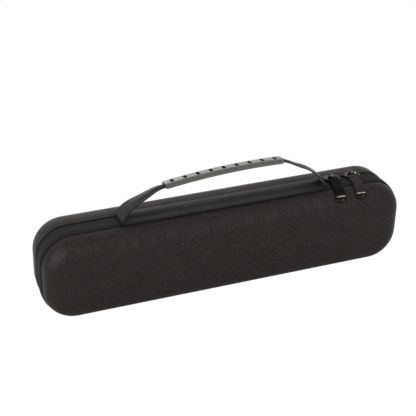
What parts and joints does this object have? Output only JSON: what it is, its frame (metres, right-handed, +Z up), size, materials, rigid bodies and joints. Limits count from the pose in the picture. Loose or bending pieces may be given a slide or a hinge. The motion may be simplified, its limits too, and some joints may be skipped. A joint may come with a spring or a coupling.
{
  "type": "zipped flute case",
  "caption": "Long moulded fabric case with rounded corners, a zip round the middle, a webbing carrying handle and a foam tray for a jointed flute.",
  "frame": {"origin": "middle of the base of the closed case's box, the handle and pulls included in the box", "axes": "+X along the case, to the right seen from its front; +Z up, with the case standing on its long hinge and the handle on top; -Y is the front"},
  "size_m": [0.42, 0.0763, 0.1392],
  "materials": {
    "shell_fabric": "matt woven fabric moulded over foam",
    "band_fabric": "matt woven fabric",
    "binding_tape": "ribbed binding tape",
    "zip_tape": "fine ribbed tape",
    "zip_coil": "nylon monofilament coil",
    "tray_foam": "matt closed-cell foam with a flocked face",
    "pocket_net": "open knitted net",
    "pocket_elastic": "woven elastic",
    "webbing": "close woven webbing with a slight sheen",
    "grip_rubber": "semi-gloss moulded rubber",
    "slider_metal": "gloss black lacquer on zinc",
    "ring_metal": "dark bright-plated wire",
    "pull_ribbon_dark": "ribbed woven ribbon",
    "pull_ribbon_brown": "ribbed woven ribbon",
    "cap_plastic": "gloss"
  },
  "bodies": {
    "case_front": {"front_shell": "shell_fabric", "front_gusset": "band_fabric", "front_binding": "binding_tape", "front_zip_tape": "zip_tape", "front_zip_coil": "zip_coil", "spine_hinge_front": "band_fabric", "flute_tray": "tray_foam", "handle_run": "webbing"},
    "lid": {"back_shell": "shell_fabric", "back_binding": "binding_tape", "back_zip_tape": "zip_tape", "back_zip_coil": "zip_coil", "spine_hinge_back": "band_fabric", "lid_pad": "tray_foam", "mesh_pocket": "pocket_net", "pocket_elastic": "pocket_elastic"},
    "handle_straps": {"handle_strap_left": "webbing", "handle_strap_right": "webbing"},
    "handle_grip": {"handle_grip": "grip_rubber"},
    "left_slider": {"slider_left": "slider_metal"},
    "right_slider": {"slider_right": "slider_metal"},
    "left_ring": {"pull_ring_left": "ring_metal"},
    "right_ring": {"pull_ring_right": "ring_metal"},
    "left_tab": {"pull_ribbon_left": "pull_ribbon_dark", "pull_cap_left": "cap_plastic"},
    "right_tab": {"pull_ribbon_right": "pull_ribbon_brown", "pull_cap_right": "cap_plastic"}
  },
  "joints": [
    {"name": "lid_hinge", "type": "hinge", "parent": "case_front", "child": "lid", "pos_m": [0, 0.003, 0], "axis": [-1, 0, 0], "range_deg": [0, 175]},
    {"name": "handle_lean", "type": "hinge", "parent": "case_front", "child": "handle_straps", "pos_m": [0, -0.0068, 0.1008], "axis": [-1, 0, 0], "range_deg": [-60, 40], "stiffness_Nm_per_rad": 0.12, "deforming": ["handle_strap_left", "handle_strap_right"]},
    {"name": "handle_lift", "type": "slide", "parent": "handle_straps", "child": "handle_grip", "axis": [0, 0.2588, 0.9659], "range_m": [-0.014, 0.006], "stiffness_N_per_m": 400, "deforming": ["handle_strap_left", "handle_strap_right"]},
    {"name": "left_slider_travel", "type": "slide", "parent": "case_front", "child": "left_slider", "axis": [1, 0, 0], "range_m": [-0.002, 0.0033]},
    {"name": "left_ring_swing", "type": "hinge", "parent": "left_slider", "child": "left_ring", "pos_m": [0.135, 0.003, 0.10205], "axis": [-0.9903, 0.1392, 0], "range_deg": [0, 120]},
    {"name": "left_tab_swing", "type": "hinge", "parent": "left_ring", "child": "left_tab", "pos_m": [0.13379, -0.00562, 0.10205], "axis": [-0.9903, 0.1392, 0], "range_deg": [0, 90]},
    {"name": "right_slider_travel", "type": "slide", "parent": "case_front", "child": "right_slider", "axis": [1, 0, 0], "range_m": [-0.0033, 0.005]},
    {"name": "right_ring_swing", "type": "hinge", "parent": "right_slider", "child": "right_ring", "pos_m": [0.16, 0.003, 0.10205], "axis": [-0.9903, 0.1392, 0], "range_deg": [0, 120]},
    {"name": "right_tab_swing", "type": "hinge", "parent": "right_ring", "child": "right_tab", "pos_m": [0.15879, -0.00562, 0.10205], "axis": [-0.9903, 0.1392, 0], "range_deg": [0, 90]}
  ]
}
